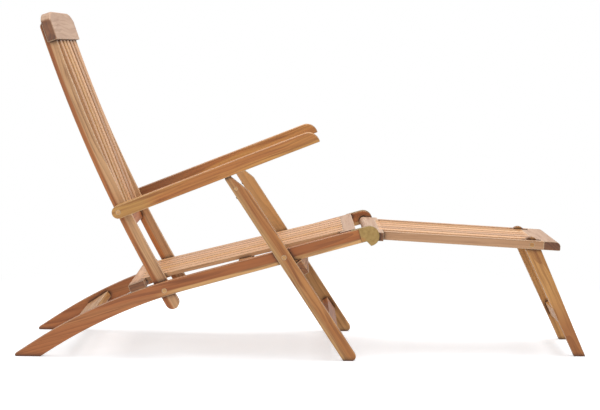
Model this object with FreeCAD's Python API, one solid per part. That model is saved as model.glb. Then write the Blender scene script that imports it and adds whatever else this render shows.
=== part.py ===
import FreeCAD, Part
import os
from math import atan2, cos, degrees, hypot, radians, sin, sqrt, tan

from FreeCAD import Vector

# Teak steamer deck chair, in millimetres.
# X runs forward to the footrest, Z is up, Y = 0 is the middle of the chair.
# The origin is on the floor, under the middle of the chair's length.
# Outlines are drawn in the XZ plane as (x, z) and given their thickness along Y.

# Seat frame: two side rails that curve down into the rear legs
KNEE_X = 197.5
KNEE_Z = 378.3
KNEE_RADIUS = 28.5
SEAT_ANGLE = 15.8
RAIL_DEPTH = 42.0
RAIL_THICK = 22.0
FRAME_HALF_WIDTH = 258.0
REAR_LEG_ANGLE = 33.5
REAR_LEG_DEPTH = 49.0
REAR_LEG_HEEL_X = -887.0
REAR_LEG_BEND = 1530.0
TIP_RADIUS = 5.0
HOOK_LENGTH = 12.0

# Seat boards and slats
FRONT_BOARD_SETBACK = 35.0
FRONT_BOARD_WIDTH = 49.0
FRONT_BOARD_THICK = 22.0
FRONT_BOARD_RISE = 2.0
REAR_BOARD_SETBACK = 115.0
REAR_BOARD_WIDTH = 50.0
REAR_BOARD_THICK = 24.0
SLAT_WIDTH = 50.0
SLAT_PITCH = 59.5
SEAT_SLAT_COUNT = 7
SEAT_SLAT_THICK = 12.0
SEAT_SLAT_RISE = 1.3
TENON = 12.0
BEARER_START = 293.0
BEARER_WIDTH = 40.0
BEARER_THICK = 20.0
REAR_STRETCHER_START = 196.0
REAR_STRETCHER_WIDTH = 78.0
REAR_STRETCHER_THICK = 20.0
REAR_STRETCHER_DROP = 23.0

# Back: two bowed stiles, a headrest board, a lower rail and slats
# Distances forward are from the line that rises through the back pivot
BACK_PIVOT_SETBACK = 643.3
BACK_PIVOT_LEVEL = 2.0
BACK_ANGLE = 114.45
STILE_THICK = 22.0
STILE_GAP = 2.0
STILE_TOP = 887.0
STILE_TAIL = 45.0
STILE_TAIL_RADIUS = 21.0
STILE_REAR_MIDDLE = 413.0
STILE_REAR_FORWARD = -39.8
STILE_REAR_BEND = 4575.0
STILE_FRONT_MIDDLE = 449.0
STILE_FRONT_FORWARD = -3.2
STILE_FRONT_BEND = 4266.0
STILE_TOP_RADIUS = 16.0
HEAD_START = 822.0
HEAD_TILT = 5.5
HEAD_HEIGHT = 88.0
HEAD_THICK = 30.0
HEAD_PROUD = 8.0
HEAD_OVERHANG = 38.0
HEAD_SHOULDER_LENGTH = 100.0
HEAD_SHOULDER_DROP = 24.0
HEAD_CORNER = 14.0
HEAD_EDGE = 6.0
BACK_SLAT_COUNT = 5
BACK_SLAT_WIDTH = 42.0
BACK_SLAT_PITCH = 78.0
BACK_SLAT_THICK = 10.0
BACK_SLAT_TOP_FORWARD = 15.9
BACK_SLAT_LOW_FORWARD = -12.5
BACK_SLAT_START = 245.0
LOWER_RAIL_START = 205.0
LOWER_RAIL_WIDTH = 75.0
BACK_RAIL_THICK = 14.0

# Armrests
ARM_PIVOT_ALONG = 276.0
ARM_PIVOT_FORWARD = -24.0
ARM_ANGLE = 21.7
ARM_LENGTH = 640.0
ARM_DEPTH = 38.8
ARM_THICK = 48.0
ARM_OVERHANG = 42.0
ARM_NOSE_RADIUS = 36.0
ARM_REST_LIFT = 5.3
CHEEK_INNER = 8.0
GROOVE_WIDTH = 26.0
GROOVE_DEPTH = 14.0
GROOVE_MARGIN = 20.0
NOTCH_COUNT = 4
NOTCH_STEP = 5.5
PEG_RADIUS = 5.0
PEG_CLEAR = 0.3

# Front legs
LEG_PIVOT_SETBACK = 265.5
LEG_ANGLE = 123.5
LEG_DEPTH = 42.0
LEG_THICK = 22.0
LEG_GAP = 4.0
LEG_SHOULDER = 224.6
LEG_SHOULDER_TOP = 289.0
TONGUE_WIDTH = 20.0
LEG_TOE_RADIUS = 14.0
STOP_BOARD_WIDTH = 43.0
STOP_BOARD_THICK = 18.0
STOP_CLEAR = 0.4
LEG_STRETCHER_START = 244.0
LEG_STRETCHER_WIDTH = 44.0
LEG_STRETCHER_THICK = 20.0
TOP_PLUG_SETBACK = 38.8
TOP_PLUG_OFFSET = 8.0
PEG_SCREW_SETBACK = 64.0

# Footrest
FOOTREST_ANGLE = -3.04
FOOTREST_TOP = 9.8
FOOTREST_DEPTH = 26.0
FOOTREST_HALF_WIDTH = 187.0
FOOTREST_RAIL_THICK = 20.0
FOOTREST_REAR_HALF_WIDTH = 230.0
FOOTREST_REAR_START = -12.5
FOOTREST_RAIL_START = 44.0
FOOTREST_RAIL_END = 538.8
FOOTREST_END = 590.0
FOOTREST_NOSE_RADIUS = 14.0
FOOTREST_SLAT_COUNT = 5
FOOTREST_SLAT_WIDTH = 47.0
FOOTREST_SLAT_PITCH = 56.5
FOOTREST_SLAT_THICK = 12.0
FOOTREST_TENON = 10.0
FOOTREST_BOARD_START = 501.0
FOOT_STOP_CLEAR = 0.2
FOOT_PIVOT_ALONG = 502.4
FOOT_LEG_ANGLE = -65.43
FOOT_LEG_THICK = 22.0
FOOT_LEG_GAP = 2.0
FOOT_LEG_RADIUS = 22.0
FOOT_LEG_TOE_WIDTH = 35.0
FOOT_STRETCHER_START = 244.0
FOOT_STRETCHER_WIDTH = 43.0
FOOT_STRETCHER_THICK = 18.0

# Fittings
BOLT_RADIUS = 4.0
BOLT_HEAD_RADIUS = 6.5
BOLT_HEAD_HEIGHT = 4.0
BORE_CLEAR = 0.05
FACE_CLEAR = 0.3
NUT_HEIGHT = 5.0
PLUG_RADIUS = 7.0
PLUG_LENGTH = 4.0
PLUG_PROUD = 0.3
WASHER_RADIUS = 11.0
SPACER_RADIUS = 11.0
SMALL_PLUG_RADIUS = 5.0
FOOT_PLUG_RADIUS = 8.0
SCREW_HEAD_RADIUS = 4.0
SCREW_HEAD_HEIGHT = 2.4
SCREW_RADIUS = 2.0
SCREW_LENGTH = 22.0
KNEE_ROD_RADIUS = 9.0
KNEE_ROD_SEAT = 14.0
KNEE_DOWEL_HOLD = 25.0
KNEE_HOLLOW_RADIUS = 13.0
KNEE_HOLLOW_DEPTH = 5.0
BRASS_THICK = 1.5
STRAP_WIDTH = 18.0
STRAP_LENGTH = 50.0
PLATE_LENGTH = 27.0

SIDES = {"left": 1, "right": -1}


# Frames and outlines


def frame_at(origin, angle):
    """A map from (along, across) to (x, z), turned by angle about origin."""
    c = cos(radians(angle))
    s = sin(radians(angle))

    def place(along, across):
        return (origin[0] + along * c - across * s, origin[1] + along * s + across * c)

    return place


def meet(p, p_angle, q, q_angle):
    """The point where two lines cross, each given by a point and its angle."""
    c = cos(radians(p_angle))
    s = sin(radians(p_angle))
    d = cos(radians(q_angle))
    e = sin(radians(q_angle))
    reach = ((q[0] - p[0]) * e - (q[1] - p[1]) * d) / (c * e - s * d)
    return (p[0] + reach * c, p[1] + reach * s)


def point(p, y=0.0):
    return Vector(p[0], y, p[1])


def rounded(corners):
    """A closed face through corners (x, z) or (x, z, radius), with arcs in place of the rounded ones."""
    edges = []
    ends = []
    for i, corner in enumerate(corners):
        here = point(corner)
        radius = corner[2] if len(corner) > 2 else 0.0
        if not radius:
            ends.append((here, here))
            continue
        back = (point(corners[i - 1]) - here).normalize()
        on = (point(corners[(i + 1) % len(corners)]) - here).normalize()
        half = back.getAngle(on) / 2
        first = here + back * (radius / tan(half))
        last = here + on * (radius / tan(half))
        middle = here + (back + on).normalize() * (radius / sin(half) - radius)
        edges.append((i, Part.Arc(first, middle, last).toShape()))
        ends.append((first, last))
    ordered = []
    arcs = dict(edges)
    for i in range(len(corners)):
        if i in arcs:
            ordered.append(arcs[i])
        start = ends[i][1]
        stop = ends[(i + 1) % len(corners)][0]
        if (stop - start).Length > 1e-6:
            ordered.append(Part.LineSegment(start, stop).toShape())
    return Part.Face(Part.Wire(ordered))


def slab(face, low, high):
    """A face in the XZ plane given thickness from y = low to y = high."""
    solid = face.extrude(Vector(0, high - low, 0))
    solid.translate(Vector(0, low, 0))
    return solid


def bar(place, start, end, bottom, top, low, high):
    """A straight bar between two places along a frame, from y = low to y = high."""
    corners = [place(start, bottom), place(end, bottom), place(end, top), place(start, top)]
    return slab(rounded(corners), low, high)


def rod(p, radius, low, high):
    """A round rod along Y."""
    return Part.makeCylinder(radius, high - low, point(p, low), Vector(0, 1, 0))


def sided(side, near, far):
    """The lower and upper y of a span between two distances from the middle."""
    return tuple(sorted((side * near, side * far)))


def edges_at(solid, spots):
    """The edges along Y that stand on any of the given (x, z) spots."""
    found = []
    for edge in solid.Edges:
        ends = [v.Point for v in edge.Vertexes]
        if len(ends) < 2 or hypot(ends[0].x - ends[1].x, ends[0].z - ends[1].z) > 1e-4:
            continue
        if any(hypot(ends[0].x - x, ends[0].z - z) < 0.01 for x, z in spots):
            found.append(edge)
    return found


def parts_of(place, spot):
    """How far along and across a frame a point lies."""
    origin = place(0, 0)
    along = place(1, 0)
    c = along[0] - origin[0]
    s = along[1] - origin[1]
    dx = spot.x - origin[0]
    dz = spot.z - origin[1]
    return dx * c + dz * s, dz * c - dx * s


def group(solids):
    return Part.makeCompound(solids)


# Places that the pieces share

knee = frame_at((KNEE_X, KNEE_Z), SEAT_ANGLE)
footrest = frame_at((KNEE_X, KNEE_Z), FOOTREST_ANGLE)
RAIL_TOP = KNEE_RADIUS
RAIL_BOTTOM = KNEE_RADIUS - RAIL_DEPTH
RAIL_AXIS = KNEE_RADIUS - RAIL_DEPTH / 2
RAIL_INNER = FRAME_HALF_WIDTH - RAIL_THICK
ARM_OUTER = FRAME_HALF_WIDTH + ARM_OVERHANG
PLUG_SEAT = FRAME_HALF_WIDTH - PLUG_LENGTH
STILE_OUTER = RAIL_INNER - STILE_GAP
STILE_INNER = STILE_OUTER - STILE_THICK
LEG_INNER = FRAME_HALF_WIDTH + LEG_GAP
LEG_OUTER = LEG_INNER + LEG_THICK
ARM_INNER = ARM_OUTER - ARM_THICK
ARM_NUT = ARM_OUTER - 2 * PLUG_LENGTH - BOLT_HEAD_HEIGHT
FOOTREST_RAIL_INNER = FOOTREST_HALF_WIDTH - FOOTREST_RAIL_THICK
FOOT_LEG_OUTER = FOOTREST_RAIL_INNER - FOOT_LEG_GAP
FOOT_LEG_INNER = FOOT_LEG_OUTER - FOOT_LEG_THICK

KNEE = (KNEE_X, KNEE_Z)
BACK_PIVOT = knee(-BACK_PIVOT_SETBACK, BACK_PIVOT_LEVEL)
LEG_PIVOT = knee(-LEG_PIVOT_SETBACK, RAIL_AXIS)
back = frame_at(BACK_PIVOT, BACK_ANGLE)
ARM_PIVOT = back(ARM_PIVOT_ALONG, -ARM_PIVOT_FORWARD)
arm = frame_at(ARM_PIVOT, ARM_ANGLE)
leg = frame_at(LEG_PIVOT, LEG_ANGLE)
FOOTREST_AXIS = FOOTREST_TOP - FOOTREST_DEPTH / 2
FOOT_PIVOT = footrest(FOOT_PIVOT_ALONG, FOOTREST_AXIS)
foot_leg = frame_at(FOOT_PIVOT, FOOT_LEG_ANGLE)


def rail_bend():
    """The corners where the rail's top and bottom edges turn down into the rear leg."""
    heel = (REAR_LEG_HEEL_X, 0.0)
    under = (REAR_LEG_HEEL_X + REAR_LEG_DEPTH / sin(radians(REAR_LEG_ANGLE)), 0.0)
    top = meet(knee(0, RAIL_TOP), SEAT_ANGLE, heel, REAR_LEG_ANGLE)
    bottom = meet(knee(0, RAIL_BOTTOM), SEAT_ANGLE, under, REAR_LEG_ANGLE)
    return heel, under, top, bottom


def rail_top_at(beyond):
    """The frame on the rail's top edge, a given distance past the start of its bend."""
    corner = rail_bend()[2]
    turn = REAR_LEG_ANGLE - SEAT_ANGLE
    run = REAR_LEG_BEND * tan(radians(turn) / 2)
    start = frame_at(corner, SEAT_ANGLE)(run, 0)
    centre = frame_at(start, SEAT_ANGLE)(0, -REAR_LEG_BEND)
    angle = SEAT_ANGLE + degrees(beyond / REAR_LEG_BEND)
    spot = frame_at(centre, angle)(0, REAR_LEG_BEND)
    return frame_at(spot, angle)


def bowed(along, middle, forward, bend):
    """How far forward a bowed edge lies, for a place along the back."""
    return forward + bend - sqrt(bend**2 - (along - middle) ** 2)


def stile_rear(along):
    return bowed(along, STILE_REAR_MIDDLE, STILE_REAR_FORWARD, STILE_REAR_BEND)


def stile_front(along):
    return bowed(along, STILE_FRONT_MIDDLE, STILE_FRONT_FORWARD, STILE_FRONT_BEND)


rear_board = rail_top_at(REAR_BOARD_SETBACK)
SLAT_FRONT = knee(-FRONT_BOARD_SETBACK - FRONT_BOARD_WIDTH, RAIL_TOP + FRONT_BOARD_RISE + SEAT_SLAT_RISE)
SLAT_REAR = rear_board(REAR_BOARD_WIDTH / 2, REAR_BOARD_THICK)
SEAT_SLAT_ANGLE = degrees(atan2(SLAT_FRONT[1] - SLAT_REAR[1], SLAT_FRONT[0] - SLAT_REAR[0]))
SEAT_SLAT_LENGTH = hypot(SLAT_FRONT[0] - SLAT_REAR[0], SLAT_FRONT[1] - SLAT_REAR[1])
seat_slat = frame_at(SLAT_REAR, SEAT_SLAT_ANGLE)

# In the back's frame, across is positive to the rear, so a front lies at a negative place
BACK_SLAT_LENGTH = HEAD_START - BACK_SLAT_START
BACK_SLAT_LEAN = degrees(atan2(BACK_SLAT_TOP_FORWARD - BACK_SLAT_LOW_FORWARD, BACK_SLAT_LENGTH))
back_slat = frame_at(back(BACK_SLAT_START, -BACK_SLAT_LOW_FORWARD), BACK_ANGLE - BACK_SLAT_LEAN)
head = frame_at(back(HEAD_START, -stile_front(HEAD_START)), BACK_ANGLE - HEAD_TILT)

# The tongue's middle line lies behind the leg's own
TONGUE_OFFSET = LEG_DEPTH / 2 - TONGUE_WIDTH / 2
PEG = meet(
    leg(0, TONGUE_OFFSET),
    LEG_ANGLE,
    arm(0, -ARM_DEPTH / 2 - ARM_REST_LIFT),
    ARM_ANGLE,
)
PEG_ALONG = hypot(PEG[0] - leg(0, TONGUE_OFFSET)[0], PEG[1] - leg(0, TONGUE_OFFSET)[1])

LEG_TOP_PLUG = leg(PEG_ALONG - TOP_PLUG_SETBACK, TOP_PLUG_OFFSET)


def turned(p, centre, angle):
    return frame_at(centre, angle)(p[0] - centre[0], p[1] - centre[1])


def notch_along(step):
    """How far along the arm the peg seats, when the back leans back by a number of steps."""
    pivot = turned(ARM_PIVOT, BACK_PIVOT, step * NOTCH_STEP)
    reach = hypot(PEG[0] - pivot[0], PEG[1] - pivot[1])
    return sqrt(reach**2 - (ARM_DEPTH / 2) ** 2)


# Bolts, washers and plugs


def bolt(p, side, head_at, tip_at):
    """A bolt across the frame, with its head at one distance from the middle and its tip at another."""
    way = 1 if tip_at > head_at else -1
    shank = rod(p, BOLT_RADIUS, *sided(side, head_at + way * BOLT_HEAD_HEIGHT, tip_at))
    cap = rod(p, BOLT_HEAD_RADIUS, *sided(side, head_at, head_at + way * BOLT_HEAD_HEIGHT))
    return shank.fuse(cap)


def bore(p, radius, side, near, far):
    return rod(p, radius, *sided(side, near, far))


def washer(p, radius, side, near, far):
    ring = rod(p, radius, *sided(side, near, far))
    return ring.cut(rod(p, BOLT_RADIUS + BORE_CLEAR, *sided(side, near, far)))


def plug(p, radius, side, face):
    """A wooden plug, let into a face and standing a hair proud of it."""
    return rod(p, radius, *sided(side, face - PLUG_LENGTH, face + PLUG_PROUD))


def spread(count, pitch):
    return [(i - (count - 1) / 2) * pitch for i in range(count)]


# Pieces of the seat frame


def nose_corners(grow):
    """The corners round the knee end of the rail, from the top edge to the tip of its hook."""
    r = KNEE_RADIUS + grow
    return [(*knee(r, r), r), (*knee(r, -r), r)]


def side_rail(side):
    heel, under, top, bottom = rail_bend()
    corners = nose_corners(0)
    corners += [(*knee(-HOOK_LENGTH / 4, -KNEE_RADIUS), 1.5), (*knee(-HOOK_LENGTH, RAIL_BOTTOM), 4.0)]
    corners += [(*bottom, REAR_LEG_BEND), under, (*heel, TIP_RADIUS), (*top, REAR_LEG_BEND)]
    rail = slab(rounded(corners), *sided(side, RAIL_INNER, FRAME_HALF_WIDTH))
    holes = [
        bore(KNEE, KNEE_ROD_RADIUS + BORE_CLEAR, side, RAIL_INNER, RAIL_INNER + KNEE_ROD_SEAT),
        bore(KNEE, KNEE_HOLLOW_RADIUS, side, RAIL_INNER, RAIL_INNER + KNEE_HOLLOW_DEPTH),
        bore(BACK_PIVOT, BOLT_RADIUS + BORE_CLEAR, side, RAIL_INNER, FRAME_HALF_WIDTH),
        bore(BACK_PIVOT, PLUG_RADIUS, side, PLUG_SEAT - BOLT_HEAD_HEIGHT, FRAME_HALF_WIDTH),
        bore(LEG_PIVOT, BOLT_RADIUS + BORE_CLEAR, side, RAIL_INNER, FRAME_HALF_WIDTH),
        bore(LEG_PIVOT, PLUG_RADIUS, side, RAIL_INNER, RAIL_INNER + BOLT_HEAD_HEIGHT),
    ]
    return rail.cut(group(holes))


def seat_slats():
    slats = []
    for y in spread(SEAT_SLAT_COUNT, SLAT_PITCH):
        low = y - SLAT_WIDTH / 2
        span = (-TENON, SEAT_SLAT_LENGTH + TENON, -SEAT_SLAT_THICK, 0)
        slats.append(bar(seat_slat, *span, low, low + SLAT_WIDTH))
    return slats


def seat_front_board(slats):
    start = -FRONT_BOARD_SETBACK - FRONT_BOARD_WIDTH
    top = RAIL_TOP + FRONT_BOARD_RISE
    span = (start, -FRONT_BOARD_SETBACK, top - FRONT_BOARD_THICK, top)
    board = bar(knee, *span, -RAIL_INNER, RAIL_INNER)
    return board.cut(group(slats))


def seat_rear_board(slats):
    half = REAR_BOARD_WIDTH / 2
    corners = [
        (*rear_board(-half, 0), REAR_BOARD_THICK / 3),
        rear_board(half, 0),
        rear_board(half, REAR_BOARD_THICK),
        (*rear_board(-half, REAR_BOARD_THICK), REAR_BOARD_THICK / 6),
    ]
    board = slab(rounded(corners), -FRAME_HALF_WIDTH, FRAME_HALF_WIDTH)
    return board.cut(group(slats))


def seat_bearer():
    span = (BEARER_START, BEARER_START + BEARER_WIDTH, -SEAT_SLAT_THICK - BEARER_THICK, -SEAT_SLAT_THICK)
    return bar(seat_slat, *span, -RAIL_INNER, RAIL_INNER)


def rear_leg_stretcher():
    place = frame_at(rail_bend()[0], REAR_LEG_ANGLE)
    end = REAR_STRETCHER_START + REAR_STRETCHER_WIDTH
    span = (REAR_STRETCHER_START, end, -REAR_STRETCHER_DROP - REAR_STRETCHER_THICK, -REAR_STRETCHER_DROP)
    return bar(place, *span, -RAIL_INNER, RAIL_INNER)


def knee_plate(side):
    """A brass cap: a strap bent round the rail's nose, and a cheek over its outer face."""
    outer = [knee(-STRAP_LENGTH, KNEE_RADIUS + BRASS_THICK)] + nose_corners(BRASS_THICK)
    outer.append(knee(-HOOK_LENGTH / 4, -KNEE_RADIUS - BRASS_THICK))
    inner = [knee(-STRAP_LENGTH, KNEE_RADIUS)] + nose_corners(0)
    inner.append(knee(-HOOK_LENGTH / 4, -KNEE_RADIUS))
    width = sided(side, FRAME_HALF_WIDTH - STRAP_WIDTH, FRAME_HALF_WIDTH)
    strap = slab(rounded(outer + inner[::-1]), *width)
    cheek = [knee(-PLATE_LENGTH, KNEE_RADIUS + BRASS_THICK)] + nose_corners(BRASS_THICK)
    cheek += [knee(-HOOK_LENGTH / 4, -KNEE_RADIUS - BRASS_THICK), knee(-HOOK_LENGTH, RAIL_BOTTOM)]
    cheek.append(knee(-PLATE_LENGTH, RAIL_BOTTOM))
    plate = slab(rounded(cheek), *sided(side, FRAME_HALF_WIDTH, FRAME_HALF_WIDTH + BRASS_THICK))
    return strap.fuse(plate)


# Pieces of the back


def stile_blank():
    """The bowed outline of a stile, from its round tail to its top, and its rear top corner."""
    top = STILE_TOP
    tail = -STILE_TAIL

    def run(edge, first, last):
        spots = [point(back(a, -edge(a))) for a in (first, (first + last) / 2, last)]
        return Part.Arc(*spots).toShape()

    heel = point(back(tail, -stile_rear(tail)))
    toe = point(back(tail, -stile_front(tail)))
    below = point(back(tail - STILE_TAIL_RADIUS, -(stile_rear(tail) + stile_front(tail)) / 2))
    rear_top = back(top, -stile_rear(top))
    edges = [
        run(stile_rear, tail, top),
        Part.LineSegment(point(rear_top), point(back(top, -stile_front(top)))).toShape(),
        run(stile_front, top, tail),
        Part.Arc(toe, below, heel).toShape(),
    ]
    return Part.Face(Part.Wire(edges)), rear_top


def back_stile(side):
    outline, top_corner = stile_blank()
    stile = slab(outline, *sided(side, STILE_INNER, STILE_OUTER))
    stile = stile.makeFillet(STILE_TOP_RADIUS, edges_at(stile, [top_corner]))
    span = (0, HEAD_HEIGHT * 2, -HEAD_PROUD * 2, HEAD_THICK - HEAD_PROUD)
    rebate = bar(head, *span, *sided(side, 0, ARM_OUTER))
    holes = [
        rebate,
        bore(BACK_PIVOT, BOLT_RADIUS + BORE_CLEAR, side, STILE_INNER, STILE_OUTER),
        bore(ARM_PIVOT, BOLT_RADIUS + BORE_CLEAR, side, STILE_INNER, STILE_OUTER),
        bore(ARM_PIVOT, PLUG_RADIUS, side, STILE_INNER, STILE_INNER + BOLT_HEAD_HEIGHT + FACE_CLEAR),
    ]
    return stile.cut(group(holes))


def back_slats():
    slats = []
    for y in spread(BACK_SLAT_COUNT, BACK_SLAT_PITCH):
        span = (y - BACK_SLAT_WIDTH / 2, y + BACK_SLAT_WIDTH / 2)
        slats.append(bar(back_slat, 0, BACK_SLAT_LENGTH + TENON, 0, BACK_SLAT_THICK, *span))
    return slats


def head_shoulder(side):
    """What is cut from above a shoulder, where the board's top slopes down to its end."""
    end = STILE_OUTER + HEAD_OVERHANG
    start = end - HEAD_SHOULDER_LENGTH
    radius = (HEAD_SHOULDER_LENGTH**2 + HEAD_SHOULDER_DROP**2) / (2 * HEAD_SHOULDER_DROP)
    low = HEAD_HEIGHT - HEAD_SHOULDER_DROP - 1
    front = -HEAD_PROUD - 1
    rear = HEAD_THICK - HEAD_PROUD + 1
    corner = bar(head, low, HEAD_HEIGHT + 1, front, rear, *sided(side, start, end + 1))
    middle = point(head(HEAD_HEIGHT - radius, front), side * start)
    through = point(head(0, 1)) - point(head(0, 0))
    return corner.cut(Part.makeCylinder(radius, rear - front, middle, through))


def headrest_board(slats):
    end = STILE_OUTER + HEAD_OVERHANG
    board = bar(head, 0, HEAD_HEIGHT, -HEAD_PROUD, HEAD_THICK - HEAD_PROUD, -end, end)
    for side in SIDES.values():
        board = board.cut(head_shoulder(side))
    high = head(HEAD_HEIGHT / 2, 0)[1]
    corners = []
    for edge in board.Edges:
        middle = edge.CenterOfMass
        if abs(edge.Length - HEAD_THICK) < 1e-6 and middle.z > high and abs(middle.y) > end - 0.01:
            corners.append(edge)
    board = board.makeFillet(HEAD_CORNER, corners)
    face_edges = []
    for edge in board.Edges:
        ends = [parts_of(head, v.Point) for v in edge.Vertexes]
        if all(abs(across + HEAD_PROUD) < 0.01 for along, across in ends):
            if max(along for along, across in ends) > 0.01:
                face_edges.append(edge)
    board = board.makeFillet(HEAD_EDGE, face_edges)
    return board.cut(group(slats))


def back_lower_rail():
    """The cross rail behind the slats' lower ends, between the stiles."""
    first = LOWER_RAIL_START - BACK_SLAT_START
    span = (first, first + LOWER_RAIL_WIDTH, BACK_SLAT_THICK, BACK_SLAT_THICK + BACK_RAIL_THICK)
    return bar(back_slat, *span, -STILE_INNER, STILE_INNER)


# Pieces of the arms


def armrest(side):
    half = ARM_DEPTH / 2
    corners = [
        (*arm(ARM_LENGTH, -half), 2.0),
        (*arm(ARM_LENGTH, half), ARM_NOSE_RADIUS),
        (*arm(-half, half), half - 0.01),
        (*arm(-half, -half), half - 0.01),
    ]
    body = slab(rounded(corners), *sided(side, ARM_INNER, ARM_OUTER))
    groove_start = notch_along(0) - GROOVE_MARGIN
    groove_end = notch_along(NOTCH_COUNT - 1) + GROOVE_MARGIN
    cheek = ARM_INNER + CHEEK_INNER
    span = (groove_start, groove_end, -half, -half + GROOVE_DEPTH)
    cuts = [bar(arm, *span, *sided(side, cheek, cheek + GROOVE_WIDTH))]
    for step in range(NOTCH_COUNT):
        seat = arm(notch_along(step), -half)
        cuts.append(bore(seat, PEG_RADIUS + PEG_CLEAR, side, ARM_INNER, cheek))
    cuts.append(bore(ARM_PIVOT, BOLT_RADIUS + BORE_CLEAR, side, ARM_INNER, ARM_NUT))
    cuts.append(bore(ARM_PIVOT, PLUG_RADIUS, side, ARM_NUT, ARM_OUTER))
    return body.cut(group(cuts))


# Pieces of the front legs


def front_leg(side):
    half = LEG_DEPTH / 2
    rear = half
    tongue_front = rear - TONGUE_WIDTH
    front_foot = meet(leg(0, -half), LEG_ANGLE, (0, 0), 0)
    rear_foot = meet(leg(0, half), LEG_ANGLE, (0, 0), 0)
    top = PEG_ALONG + TONGUE_WIDTH / 2
    corners = [
        (*front_foot, LEG_TOE_RADIUS),
        (*leg(LEG_SHOULDER, -half), 4.0),
        (*leg(LEG_SHOULDER_TOP, tongue_front), 3.0),
        (*leg(top, tongue_front), TONGUE_WIDTH / 2 - 0.01),
        (*leg(top, rear), TONGUE_WIDTH / 2 - 0.01),
        rear_foot,
    ]
    blank = slab(rounded(corners), *sided(side, LEG_INNER, LEG_OUTER))
    cuts = [
        bore(LEG_PIVOT, BOLT_RADIUS + BORE_CLEAR, side, LEG_INNER, LEG_OUTER),
        bore(LEG_PIVOT, PLUG_RADIUS, side, LEG_OUTER - 2 * PLUG_LENGTH - BOLT_HEAD_HEIGHT, LEG_OUTER),
        bore(LEG_TOP_PLUG, SMALL_PLUG_RADIUS, side, LEG_OUTER - PLUG_LENGTH, LEG_OUTER),
        arm_peg(side),
        peg_screw(side),
    ]
    return blank.cut(group(cuts))


def leg_plugs(side):
    low = plug(LEG_PIVOT, PLUG_RADIUS, side, LEG_OUTER)
    return group([low, plug(LEG_TOP_PLUG, SMALL_PLUG_RADIUS, side, LEG_OUTER)])


def arm_peg(side):
    return rod(PEG, PEG_RADIUS, *sided(side, ARM_INNER + 1.0, LEG_OUTER - 6.0))


def peg_screw(side):
    """A round-headed screw in the leg's rear edge, below the peg."""
    middle = side * (LEG_INNER + LEG_OUTER) / 2
    seat = point(leg(PEG_ALONG - PEG_SCREW_SETBACK, LEG_DEPTH / 2), middle)
    outward = (point(leg(PEG_ALONG - PEG_SCREW_SETBACK, LEG_DEPTH / 2 + 1.0), middle) - seat).normalize()
    shank = Part.makeCylinder(SCREW_RADIUS, SCREW_LENGTH, seat - outward * SCREW_LENGTH, outward)
    dome = Part.makeCylinder(SCREW_HEAD_RADIUS, SCREW_HEAD_HEIGHT, seat, outward)
    crown = seat + outward * SCREW_HEAD_HEIGHT
    rim = [e for e in dome.Edges if (e.CenterOfMass - crown).Length < 0.01]
    return shank.fuse(dome.makeFillet(SCREW_HEAD_HEIGHT * 0.7, rim))


def stop_board():
    """The board on the legs' front edges, which meets the rails' undersides when the legs are open."""
    front = LEG_DEPTH / 2 + STOP_BOARD_THICK
    lean = radians(LEG_ANGLE - SEAT_ANGLE)
    top = -(RAIL_DEPTH / 2 + STOP_CLEAR - front * cos(lean)) / sin(lean)
    span = (top - STOP_BOARD_WIDTH, top, -front, -LEG_DEPTH / 2)
    return bar(leg, *span, -LEG_OUTER, LEG_OUTER)


def leg_stretcher():
    half = LEG_STRETCHER_THICK / 2
    span = (-LEG_STRETCHER_START - LEG_STRETCHER_WIDTH, -LEG_STRETCHER_START, -half, half)
    return bar(leg, *span, -LEG_INNER, LEG_INNER)


# Pieces of the footrest


def footrest_slats():
    slats = []
    span = (FOOTREST_RAIL_START - FOOTREST_TENON, FOOTREST_BOARD_START + FOOTREST_TENON)
    heights = (FOOTREST_TOP - FOOTREST_SLAT_THICK, FOOTREST_TOP)
    for y in spread(FOOTREST_SLAT_COUNT, FOOTREST_SLAT_PITCH):
        low = y - FOOTREST_SLAT_WIDTH / 2
        slats.append(bar(footrest, *span, *heights, low, low + FOOTREST_SLAT_WIDTH))
    return slats


def footrest_rail(side):
    span = (FOOTREST_RAIL_START, FOOTREST_RAIL_END, FOOTREST_TOP - FOOTREST_DEPTH, FOOTREST_TOP)
    rail = bar(footrest, *span, *sided(side, FOOTREST_RAIL_INNER, FOOTREST_HALF_WIDTH))
    cuts = [
        bore(FOOT_PIVOT, BOLT_RADIUS + BORE_CLEAR, side, FOOTREST_RAIL_INNER, FOOTREST_HALF_WIDTH),
        bore(FOOT_PIVOT, FOOT_PLUG_RADIUS, side, FOOTREST_HALF_WIDTH - 2 * PLUG_LENGTH, FOOTREST_HALF_WIDTH),
    ]
    return rail.cut(group(cuts))


def footrest_rear_board(slats):
    bottom = FOOTREST_TOP - FOOTREST_DEPTH
    turn = FOOTREST_DEPTH / 2 - 0.5
    corners = [
        footrest(FOOTREST_RAIL_START, bottom),
        footrest(FOOTREST_RAIL_START, FOOTREST_TOP),
        (*footrest(FOOTREST_REAR_START, FOOTREST_TOP), turn),
        (*footrest(FOOTREST_REAR_START, bottom), turn),
    ]
    board = slab(rounded(corners), -FOOTREST_REAR_HALF_WIDTH, FOOTREST_REAR_HALF_WIDTH)
    return board.cut(group([both(knee_dowel)] + slats))


def knee_dowel(side):
    """The wooden dowel that the footrest turns on, held in its rear board and free in the rail."""
    tip = RAIL_INNER + KNEE_ROD_SEAT - BORE_CLEAR
    return bore(KNEE, KNEE_ROD_RADIUS, side, FOOTREST_REAR_HALF_WIDTH - KNEE_DOWEL_HOLD, tip)


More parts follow.
